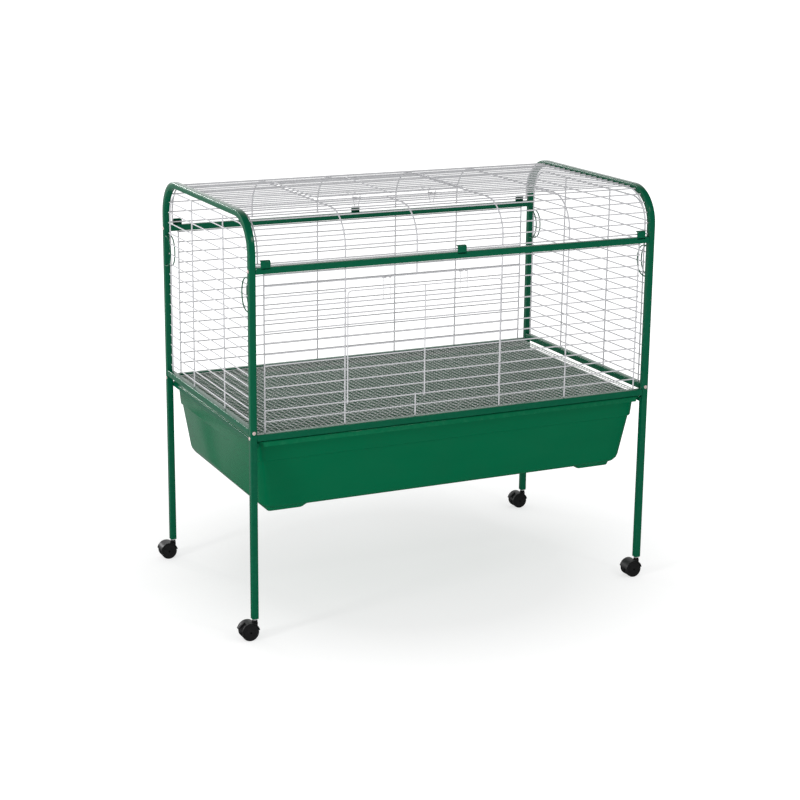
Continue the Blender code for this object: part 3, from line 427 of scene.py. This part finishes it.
def side_panel(name, sy, doorway):
    """Upright wires behind fourteen level wires, cut where the doorway is."""
    low, high = (ROW_Z0 + row * PITCH for row in OPEN_ROWS)
    level_y = sy * POST_Y
    upright_y = sy * (POST_Y - LAP)
    bm = bmesh.new()
    for x in COLUMNS:
        spans = [(PANEL_LOW, PANEL_HIGH)]
        if doorway and OPEN_X[0] < x < OPEN_X[1]:
            spans = [(PANEL_LOW, low + THICK), (high - THICK, PANEL_HIGH)]
        for a, b in spans:
            add_wire(bm, [(x, upright_y, a), (x, upright_y, b)], THICK)
    tip = COLUMNS[-1] + THICK
    for row in range(1, 15):
        z = ROW_Z0 + row * PITCH
        spans = [(-tip, tip)]
        if doorway and OPEN_ROWS[0] < row < OPEN_ROWS[1]:
            spans = [(-tip, OPEN_X[0] + THICK), (OPEN_X[1] - THICK, tip)]
        for a, b in spans:
            add_wire(bm, [(a, level_y, z), (b, level_y, z)], THIN)
    piece(name + "_wires", bm, WHITE, "frame", [name], 60)


side_panel("front_panel", -1, True)
side_panel("rear_panel", 1, False)

# ---------------------------------------------------------------- end panels
END_EDGE_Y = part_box("end_panel_left")[1][1] - EDGE_HALF
END_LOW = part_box("end_panel_left")[0][2]
END_CROSS_Y = 0.106
END_Z0 = 0.4840


def end_panel(side, sx):
    """An arched edge wire, two stiff uprights and seventeen level wires."""
    bend = END_EDGE_Y - BEND_Y
    back = sx * (POST_X - LAP)
    top = BEND_Z + bend
    bm = bmesh.new()
    edge = [(back, -END_EDGE_Y, END_LOW)]
    for cy, start in ((-BEND_Y, 180), (BEND_Y, 90)):
        edge += [(back, cy + bend * math.cos(a), BEND_Z + bend * math.sin(a))
                 for a in (math.radians(start - 90 * k / 12) for k in range(13))]
    edge += [(back, END_EDGE_Y, END_LOW)]
    add_wire(bm, edge, THICK)
    for y in (-END_CROSS_Y, END_CROSS_Y):
        add_wire(bm, [(back, y, END_LOW), (back, y, top)], THICK)
    for row in range(1, 18):
        z = END_Z0 + row * PITCH
        reach = END_EDGE_Y if z < BEND_Z else BEND_Y + math.sqrt(bend ** 2 - (z - BEND_Z) ** 2)
        add_wire(bm, [(sx * POST_X, -reach - THICK, z), (sx * POST_X, reach + THICK, z)], THIN)
    piece("end_panel_wires_" + side, bm, WHITE, "frame", ["end_panel_" + side], 60)


for side, sx in SIDES:
    end_panel(side, sx)

# ---------------------------------------------------------------- roof
roof_lo, roof_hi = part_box("roof_panel")
ROOF_FOOT = roof_lo[2] + BAR_HALF
ROOF_R = BEND_R - TUBE / 2
ROOF_STRAIGHT = BEND_Z - ROOF_FOOT
ROOF_BEND = ROOF_R * math.pi / 2
ROOF_ARC = 2 * (ROOF_STRAIGHT + ROOF_BEND + BEND_Y)
ROOF_GAPS = 28
ROOF_PITCH = ROOF_ARC / ROOF_GAPS
ROOF_OPEN = (9, 20)
ROOF_EDGE_X = roof_hi[0] - EDGE_HALF
ROOF_TIP = ROOF_EDGE_X + 0.006
ROOF_Z = BEND_Z + ROOF_R
ROOF_OVER = 0.0020                   # how far a cross wire passes the lowest lengthwise wire


def roof_point(s, w):
    """(Y, Z) at distance s along the arch from the front foot, w outward."""
    if s <= ROOF_STRAIGHT:
        return (-POST_Y - w, ROOF_FOOT + s)
    if s > ROOF_ARC / 2:
        y, z = roof_point(ROOF_ARC - s, w)
        return (-y, z)
    s -= ROOF_STRAIGHT
    if s <= ROOF_BEND:
        a = s / ROOF_R
        return (-BEND_Y - (ROOF_R + w) * math.cos(a), BEND_Z + (ROOF_R + w) * math.sin(a))
    return (-BEND_Y + s - ROOF_BEND, ROOF_Z + w)


def roof():
    """Twenty-nine lengthwise wires over six bent cross wires, cut where the doorway is."""
    bm = bmesh.new()
    steps = 56
    for x in (-ROOF_EDGE_X, -CROSS_X[1], -CROSS_X[0], CROSS_X[0], CROSS_X[1], ROOF_EDGE_X):
        spans = [(-ROOF_OVER, ROOF_ARC + ROOF_OVER)]
        if OPEN_X[0] < x < OPEN_X[1]:
            low, high = (ROOF_PITCH * k for k in ROOF_OPEN)
            spans = [(-ROOF_OVER, low + THICK), (high - THICK, ROOF_ARC + ROOF_OVER)]
        for a, b in spans:
            count = max(2, round(steps * (b - a) / ROOF_ARC))
            add_wire(bm, [(x, *roof_point(a + (b - a) * k / count, -LAP)) for k in range(count + 1)], THICK)
    for k in range(ROOF_GAPS + 1):
        y, z = roof_point(ROOF_PITCH * k, 0.0)
        spans = [(-ROOF_TIP, ROOF_TIP)]
        if ROOF_OPEN[0] < k < ROOF_OPEN[1]:
            spans = [(-ROOF_TIP, OPEN_X[0] + THICK), (OPEN_X[1] - THICK, ROOF_TIP)]
        for a, b in spans:
            add_wire(bm, [(a, y, z), (b, y, z)], THIN)
    piece("roof_panel_wires", bm, WHITE, "frame", ["roof_panel"], 60)


roof()
ROOF_HINGE_Y = roof_point(ROOF_PITCH * ROOF_OPEN[1], 0.0)[0]


# ---------------------------------------------------------------- doors
def door(name, pitch, place):
    """A rounded frame wire and a middle upright that curl round the hinge wire, over nine level wires.

    place(u, v, w) takes the length, the distance from the hinge wire and the distance outward."""
    height = pitch * DOOR_ROWS
    corner = 0.009
    curl = DOOR_OUT
    hook = [(curl * math.sin(a), -curl * math.cos(a))
            for a in (math.radians(90 - 22.5 * k) for k in range(11))]
    bm = bmesh.new()

    def foot(u):
        """From the tip of the curl up to the start of the upright."""
        return [place(u, v, w) for w, v in reversed(hook)]

    left, middle, right = DOOR_X
    points = foot(left) + [place(left, height - corner, DOOR_OUT)]
    points += [place(left + corner * (1 - math.cos(a)), height - corner + corner * math.sin(a), DOOR_OUT)
               for a in (math.radians(15 * k) for k in range(1, 7))]
    points += [place(right - corner * (1 - math.sin(a)), height - corner + corner * math.cos(a), DOOR_OUT)
               for a in (math.radians(15 * k) for k in range(0, 7))]
    points += foot(right)[::-1]
    add_wire(bm, points, DOOR_WIRE)
    add_wire(bm, foot(middle) + [place(middle, height, DOOR_OUT - 0.001)], DOOR_WIRE)
    for row in range(1, DOOR_ROWS):
        v = row * pitch
        add_wire(bm, [place(left - THIN, v, DOOR_OUT - LAP), place(right + THIN, v, DOOR_OUT - LAP)], THIN)
    piece(name + "_wires", bm, WHITE, name, [name], 60)


door("front_door", PITCH, lambda u, v, w: (u, -POST_Y - w, HINGE_Z + v))
door("roof_door", ROOF_PITCH, lambda u, v, w: (u, ROOF_HINGE_Y - v, ROOF_Z + w))


# ---------------------------------------------------------------- latches
def latch(name, place, hanging):
    """A spring coil round a panel wire, two arms over the door's edge, and on the roof a finger loop."""
    half, coil_r, wire_r, out, reach = 0.0090, 0.0027, 0.0008, 0.0068, 0.0490
    turns, per_turn, spacing = 5.5, 14, 1.12
    rise, neck, loop_r = 0.0015, -0.0020, 0.0009
    bm = bmesh.new()
    start, stop = -half, -half + turns * 2 * wire_r * spacing
    count = int(turns * per_turn)
    coil = [(start + (stop - start) * k / count, coil_r * math.sin(2 * math.pi * k / per_turn),
             coil_r * math.cos(2 * math.pi * k / per_turn)) for k in range(count + 1)]
    round_r = 0.004
    arm = [(-half, 0.0, out - rise), (-half, rise, out)]
    loop = [(-half, reach - round_r, out)]
    loop += [(-half + round_r * (1 - math.cos(a)), reach - round_r + round_r * math.sin(a), out)
             for a in (math.radians(22.5 * k) for k in range(1, 5))]
    loop += [(half - round_r * (1 - math.sin(a)), reach - round_r + round_r * math.cos(a), out)
             for a in (math.radians(22.5 * k) for k in range(0, 5))]
    back = [(half, rise, out), (half, 0.0, out - rise), (half, 0.0, coil_r)]
    add_wire(bm, [place(*p) for p in coil[::-1] + arm + loop + back], wire_r)
    last = coil[-1]
    add_wire(bm, [place(last[0], 0.0, -coil_r), place(half, 0.0, -coil_r)], wire_r)
    add_lathe(bm, ((-0.0010, 0.0022), (-0.0010, 0.0034), (0.0010, 0.0034), (0.0010, 0.0022)),
              place(half, 0.0, 0.0), X, 16, closed=True)
    if hanging:
        turn = 0.0050
        drop = -0.0210 + turn
        left = [(-half, 0.0, neck), (-turn, 0.0, drop)]
        low = [(-turn * math.cos(a), 0.0, drop - turn * math.sin(a))
               for a in (math.radians(15 * k) for k in range(1, 12))]
        add_wire(bm, [place(*p) for p in left + low + [(turn, 0.0, drop), (half, 0.0, neck)]], loop_r)
    piece(name + "_spring", bm, SPRING, name, [name], 60)


for side, _ in SIDES:
    at = joint("front_latch_%s_turn" % side)["pos_m"]
    latch("front_latch_" + side, lambda u, v, w, at=at: (at[0] + u, at[1] - w, at[2] - v), False)
    at = joint("roof_latch_%s_turn" % side)["pos_m"]
    latch("roof_latch_" + side, lambda u, v, w, at=at: (at[0] + u, at[1] + v, at[2] + w), True)

# ---------------------------------------------------------------- floor grille
grille_lo, grille_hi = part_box("floor_grille")
MESH_PITCH = 0.0127
MESH_R = 0.0008
MESH_BITE = 0.8                      # crossing mesh wires are sunk into each other
MESH_INSET = 0.002
FOLD_WIDTH, FOLD_HALF = 0.0014, 0.0013


def grille():
    """Half-inch welded mesh in a folded steel edge."""
    mid = (grille_lo[2] + grille_hi[2]) / 2
    edge_x, edge_y = grille_hi[0], grille_hi[1]
    bm = bmesh.new()
    for half, other, along in ((edge_x, edge_y, 0), (edge_y, edge_x, 1)):
        count = int((half - 0.003) / MESH_PITCH)
        for k in range(-count, count + 1):
            at = k * MESH_PITCH
            z = mid + (MESH_R * MESH_BITE if along else -MESH_R * MESH_BITE)
            ends = [(at, -other + MESH_INSET, z), (at, other - MESH_INSET, z)]
            if along:
                ends = [(b, a, c) for a, b, c in ends]
            add_wire(bm, ends, MESH_R, 6)
    piece("floor_grille_mesh", bm, ZINC_AND_GREEN_REFLECTION, "frame", ["floor_grille"], 60)
    bm = bmesh.new()
    low, high = mid - FOLD_HALF, mid + FOLD_HALF
    for s in (-1, 1):
        a, b = sorted((s * edge_y, s * (edge_y - FOLD_WIDTH)))
        add_block(bm, (-edge_x, a, low), (edge_x, b, high))
        a, b = sorted((s * edge_x, s * (edge_x - FOLD_WIDTH)))
        add_block(bm, (a, -edge_y, low), (b, edge_y, high))
    piece("floor_grille_edge", bm, ZINC_AND_GREEN_REFLECTION, "frame")


grille()

# ---------------------------------------------------------------- tub
tub_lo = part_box("tub")[0]
TUB_FLOOR = 0.2865
FOOT_Z = tub_lo[2]
LIP_X = ((-1, 0.4840), (1, 0.4740))  # half lengths of the turned-down lips, front and rear
LIP_Y, LIP_Z = (0.2963, 0.2947), (0.4510, 0.4615)
OUTER = ((0.4960, 0.2930, 0.4632, 0.012), (0.4978, 0.2952, 0.4627, 0.013), (0.4984, 0.2960, 0.4618, 0.013),
         (0.4984, 0.2960, 0.4606, 0.013), (0.4978, 0.2952, 0.4603, 0.013), (0.4945, 0.2790, 0.4603, 0.018),
         (0.4936, 0.2781, 0.4596, 0.018), (0.4903, 0.2748, 0.4122, 0.020), (0.4897, 0.2742, 0.4108, 0.020),
         (0.4873, 0.2717, 0.4095, 0.020), (0.4866, 0.2709, 0.4080, 0.020), (0.4734, 0.2574, 0.3070, 0.026),
         (0.4710, 0.2550, 0.2992, 0.026), (0.4655, 0.2495, 0.2915, 0.026), (0.4590, 0.2430, 0.2878, 0.025),
         (0.4515, 0.2355, 0.2865, 0.024))
INNER = ((0.4505, 0.2345, 0.2895, 0.022), (0.4575, 0.2415, 0.2908, 0.022), (0.4632, 0.2472, 0.2945, 0.023),
         (0.4678, 0.2518, 0.3005, 0.023), (0.4702, 0.2542, 0.3075, 0.023), (0.4838, 0.2680, 0.4088, 0.017),
         (0.4868, 0.2713, 0.4125, 0.017), (0.4903, 0.2748, 0.4605, 0.015), (0.4912, 0.2760, 0.4628, 0.015))


def tub():
    """A moulded shell with a flange, a step below it, a rounded floor edge and four pads."""
    bm = bmesh.new()
    rings = [[bm.verts.new((u, v, z)) for u, v in rounded(hx, hy, r, 8)] for hx, hy, z, r in OUTER + INNER]
    floor = len(OUTER) - 1
    count = len(rings[0])
    for k, (low, high) in enumerate(zip(rings, rings[1:] + rings[:1])):
        if k != floor:
            for i in range(count):
                j = (i + 1) % count
                bm.faces.new((low[i], low[j], high[j], high[i]))
    bm.faces.new(rings[floor])
    bm.faces.new(rings[floor + 1][::-1])
    for sx in (-1, 1):
        for sy in (-1, 1):
            levels = ((0.348, 0.4525, 0.174, 0.2360, TUB_FLOOR + 0.001),
                      (0.3640, 0.4500, 0.1775, 0.2315, FOOT_Z + 0.001),
                      (0.3655, 0.4485, 0.1790, 0.2300, FOOT_Z))
            pads = []
            for x0, x1, y0, y1, z in levels:
                mid = Vector((sx * (x0 + x1) / 2, sy * (y0 + y1) / 2, z))
                pads.append([bm.verts.new(mid + Vector((u, v, 0)))
                             for u, v in rounded((x1 - x0) / 2, (y1 - y0) / 2, 0.006, 4)])
            add_rings(bm, pads)
    for sy, hx in LIP_X:
        a, b = sorted(sy * y for y in LIP_Y)
        add_block(bm, (-hx, a, LIP_Z[0]), (hx, b, LIP_Z[1]))
    piece("tub_shell", bm, TUB, "tub", ["tub"], 50)


tub()

# ---------------------------------------------------------------- castors
WHEEL_R = 0.0200
HOOD_R = 0.0224
HOOD_HALF = 0.0163
TRAIL = 0.015                        # from the stem to the axle
LEVER_HALF = 0.0058


def around(cx, radius, degrees):
    a = math.radians(degrees)
    return (cx + radius * math.cos(a), WHEEL_R + radius * math.sin(a))


def add_prism(bm, outline, y0, y1, soft=0.0005):
    """A block with an (X, Z) outline between two Y faces, with softened rims."""
    centre = Vector((sum(p[0] for p in outline), sum(p[1] for p in outline))) / len(outline)
    rings = []
    for y, shrink in ((y0, soft), (y0 + soft, 0.0), (y1 - soft, 0.0), (y1, soft)):
        ring = []
        for x, z in outline:
            toward = (centre - Vector((x, z))).normalized() * shrink
            ring.append(bm.verts.new((x + toward.x, y, z + toward.y)))
        rings.append(ring)
    add_rings(bm, rings)


def wheel(name, cx, py, s):
    """A ribbed tread on a dished disc with a hub cap."""
    bm = bmesh.new()
    add_lathe(bm, ((0.0050, 0.0030), (0.0050, 0.0186), (0.0056, 0.0196), (0.0068, 0.0200), (0.0096, 0.0200),
                   (0.0100, 0.0197), (0.0110, 0.0197), (0.0114, 0.0200), (0.0142, 0.0200), (0.0155, 0.0195),
                   (0.0161, 0.0186), (0.0162, 0.0172), (0.0153, 0.0163), (0.0150, 0.0090), (0.0156, 0.0078),
                   (0.0162, 0.0060), (0.0163, 0.0030)), (cx, py, WHEEL_R), (0, s, 0), 40)
    for k in range(6):
        a = math.radians(60 * k + 30)
        d = Vector((math.cos(a), 0, math.sin(a)))
        base = Vector((cx, py + s * 0.0152, WHEEL_R))
        tangent = Vector((-math.sin(a), 0, math.cos(a)))
        add_sweep(bm, [(base + d * r, tangent, Vector((0, s, 0))) for r in (0.0068, 0.0168)],
                  rounded(0.0009, 0.0007, 0.0004, 2))
    piece(name + "_disc", bm, TREAD, name, [name], 35)


def caster(tag, sx, sy):
    """A hood over two wheels, with a neck, a stem and a pale collar under the leg."""
    px, py = sx * POST_X, sy * POST_Y
    cx = px - TRAIL
    node = "caster_body_" + tag
    bm = bmesh.new()
    hood = [around(cx, HOOD_R, 10 + 160 * k / 24) for k in range(25)]
    hood += [around(cx, WHEEL_R + 0.0007, 170 - 160 * k / 24) for k in range(25)]
    add_prism(bm, hood, py - HOOD_HALF, py + HOOD_HALF)
    web = [around(cx, HOOD_R - 0.0005, -8 + 192 * k / 24) for k in range(25)]
    web += [(cx - 0.004, WHEEL_R - 0.006), (cx + 0.004, WHEEL_R - 0.006)]
    add_prism(bm, web, py - 0.0044, py + 0.0044)
    neck = [(cx + 0.004, 0.0250), (px + 0.0055, 0.0285), (px + 0.0060, 0.0330), (px + 0.0060, 0.0400),
            (cx + 0.004, 0.0410)]
    add_prism(bm, neck, py - 0.0043, py + 0.0043)
    add_lathe(bm, ((0.0385, 0.0062), (0.0420, 0.0064), (0.0440, 0.0060), (0.0452, 0.0056), (0.0452, 0.0030)),
              (px, py, 0), Z, 24)
    add_lathe(bm, ((-0.0163, 0.0024), (0.0163, 0.0024)), (cx, py, WHEEL_R), Y, 16)
    piece("castor_hood_" + tag, bm, NYLON, "caster_" + tag, [node], 35)
    bm = bmesh.new()
    add_lathe(bm, ((0.0453, 0.0034), (0.0453, 0.0064), (0.0456, 0.0067), (0.0474, 0.0067), (0.0477, 0.0064),
                   (0.0477, 0.0034)), (px, py, 0), Z, 28, closed=True)
    add_lathe(bm, ((0.0452, 0.0036), (0.0600, 0.0036)), (px, py, 0), Z, 14)
    piece("castor_collar_" + tag, bm, COLLAR, "caster_" + tag)
    wheel("wheel_outer_" + tag, cx, py, sy)
    wheel("wheel_inner_" + tag, cx, py, -sy)


for tag, sx, sy in CORNERS:
    caster(tag, sx, sy)


def brake(tag, sx, sy):
    """A foot lever with a raised, ribbed toe."""
    px, py = sx * POST_X, sy * POST_Y
    cx = px - TRAIL
    low, high = HOOD_R + 0.0008, HOOD_R + 0.0036
    node = "brake_lever_" + tag
    outline = [around(cx, low, 114 + 21 * k / 6) for k in range(7)]
    outline += [(cx - 0.0262, 0.0287), (cx - 0.0264, 0.0310)]
    outline += [around(cx, high, 135 - 21 * k / 6) for k in range(7)]
    bm = bmesh.new()
    add_prism(bm, outline, py - LEVER_HALF, py + LEVER_HALF, 0.0006)
    for k in range(3):
        x, z = cx - 0.0205 - 0.0022 * k, 0.0371 - 0.0024 * k
        add_sweep(bm, [(Vector((x, py + y, z)), Vector((1, 0, 0)), Z) for y in (-0.0046, 0.0046)],
                  rounded(0.0006, 0.0006, 0.0004, 2))
    piece(node + "_arm", bm, NYLON, "brake_" + tag, [node], 35)


brake("front_left", -1, -1)
brake("rear_right", 1, 1)


# ---------------------------------------------------------------- floor, light and camera
def pale_floor():
    """White paper with painted light: it glows, less near the hutch as painted shade and more with distance
    to meet the backdrop; in reflections it is darker and glows mostly behind the hutch, a painted reflection
    that puts a sheen on the tub's left end.
    """
    n = Nodes("studio_floor")
    gloss = n.tree.nodes.new("ShaderNodeLightPath").outputs["Is Glossy Ray"]
    # Painted reflection: glossy rays see the paper much darker than it is.
    n.link(n.blend(gloss, (0.42, 0.42, 0.42), (0.06, 0.06, 0.06)), n.bsdf.inputs["Base Color"])
    n.bsdf.inputs["Roughness"].default_value = 0.9
    n.bsdf.inputs["Specular IOR Level"].default_value = 0.0
    n.bsdf.inputs["Emission Color"].default_value = (1.0, 1.0, 1.0, 1.0)
    far = n.tree.nodes.new("ShaderNodeVectorMath")
    far.operation = "LENGTH"
    n.link(n.coord, far.inputs[0])
    glow = n.tree.nodes.new("ShaderNodeMath")
    glow.operation = "MULTIPLY"
    # Painted light: the paper's glow, weaker near the hutch as painted shade under it and stronger with
    # distance.
    n.link(n.spread(far.outputs["Value"], 0.58, 1.0, 0.40, 1.30), glow.inputs[0])
    split = n.tree.nodes.new("ShaderNodeSeparateXYZ")
    n.link(n.coord, split.inputs[0])
    # Painted reflection: glossy rays see the glow only faintly, brighter behind the hutch, which puts a sheen
    # on the tub's left end.
    painted_reflection_glow = n.tree.nodes.new("ShaderNodeMix")
    n.link(gloss, painted_reflection_glow.inputs["Factor"])
    painted_reflection_glow.inputs["A"].default_value = 1.0
    n.link(n.spread(split.outputs["Y"], 0.02, 0.30, 0.25, 0.80), painted_reflection_glow.inputs["B"])
    n.link(painted_reflection_glow.outputs["Result"], glow.inputs[1])
    n.link(glow.outputs[0], n.bsdf.inputs["Emission Strength"])
    bm = bmesh.new()
    reach = 30.0
    corners = [bm.verts.new((x, y, -0.0005)) for x, y in ((-reach, -reach), (reach, -reach), (reach, reach),
                                                          (-reach, reach))]
    bm.faces.new(corners)
    mesh = bpy.data.meshes.new("studio_floor")
    bm.to_mesh(mesh)
    bm.free()
    mesh.materials.append(n.mat)
    obj = bpy.data.objects.new("studio_floor", mesh)
    bpy.context.scene.collection.objects.link(obj)


def area_light(name, place, aim, size, power):
    data = bpy.data.lights.new(name, "AREA")
    data.shape = "RECTANGLE"
    data.size, data.size_y = size
    data.energy = power
    obj = bpy.data.objects.new(name, data)
    bpy.context.scene.collection.objects.link(obj)
    direction = Vector(aim) - Vector(place)
    obj.matrix_world = Matrix.Translation(place) @ direction.to_track_quat("-Z", "Y").to_matrix().to_4x4()


def lights():
    """A white backdrop, an even dome that gloss sees only to the rear, and three lamps."""
    world = bpy.data.worlds.new("white_studio")
    world.use_nodes = True
    tree = world.node_tree
    direction = tree.nodes.new("ShaderNodeTexCoord").outputs["Generated"]
    split = tree.nodes.new("ShaderNodeSeparateXYZ")
    tree.links.new(direction, split.inputs[0])
    kinds = tree.nodes.new("ShaderNodeLightPath").outputs

    def ramp(y0, y1, low, high):
        node = tree.nodes.new("ShaderNodeMapRange")
        for socket, value in (("From Min", y0), ("From Max", y1), ("To Min", low), ("To Max", high)):
            node.inputs[socket].default_value = value
        tree.links.new(split.outputs["Y"], node.inputs["Value"])
        return node.outputs["Result"]

    def choose(kind, otherwise, value):
        node = tree.nodes.new("ShaderNodeMix")
        tree.links.new(kinds[kind], node.inputs["Factor"])
        tree.links.new(otherwise, node.inputs["A"])
        if isinstance(value, float):
            node.inputs["B"].default_value = value
        else:
            tree.links.new(value, node.inputs["B"])
        return node.outputs["Result"]

    strength = choose("Is Glossy Ray", ramp(-0.7, 0.5, 0.70, 0.66), ramp(0.3, 1.0, 0.03, 1.5))
    strength = choose("Is Camera Ray", strength, 1.05)
    background = tree.nodes["Background"]
    background.inputs["Color"].default_value = (1.0, 1.0, 1.0, 1.0)
    tree.links.new(strength, background.inputs["Strength"])
    bpy.context.scene.world = world
    area_light("key_rear_left", (-1.9, 3.6, 1.0), (0.0, 0.0, 0.4), (0.5, 0.5), 22)
    area_light("left_strip", (-3.6, -1.2, 1.2), (0.0, 0.0, 0.4), (0.5, 1.6), 48)
    area_light("front_glint", (1.6, -3.6, 3.4), (0.0, 0.0, 0.6), (0.5, 0.5), 16)


def camera():
    """The photographer's place, fitted to the hutch's own edges and hoop bends."""
    azimuth, elevation, roll = (math.radians(a) for a in (-24.6113, 14.281, 0.394))
    distance, target = 4.4249, Vector((-0.0876, 0.0, 0.5289))
    back = Vector((math.sin(azimuth) * math.cos(elevation), -math.cos(azimuth) * math.cos(elevation),
                   math.sin(elevation)))
    right = Vector((math.cos(azimuth), math.sin(azimuth), 0.0))
    up = back.cross(right)
    across = right * math.cos(roll) + up * math.sin(roll)
    above = up * math.cos(roll) - right * math.sin(roll)
    data = bpy.data.cameras.new("studio_camera")
    data.sensor_width = 36.0
    data.lens = 81.81
    data.shift_x, data.shift_y = 0.0355, -0.0433
    obj = bpy.data.objects.new("studio_camera", data)
    bpy.context.scene.collection.objects.link(obj)
    place = Matrix((across, above, back)).transposed().to_4x4()
    place.translation = target + back * distance
    obj.matrix_world = place
    bpy.context.scene.camera = obj


pale_floor()
lights()
camera()
bpy.context.scene.view_settings.view_transform = "Standard"
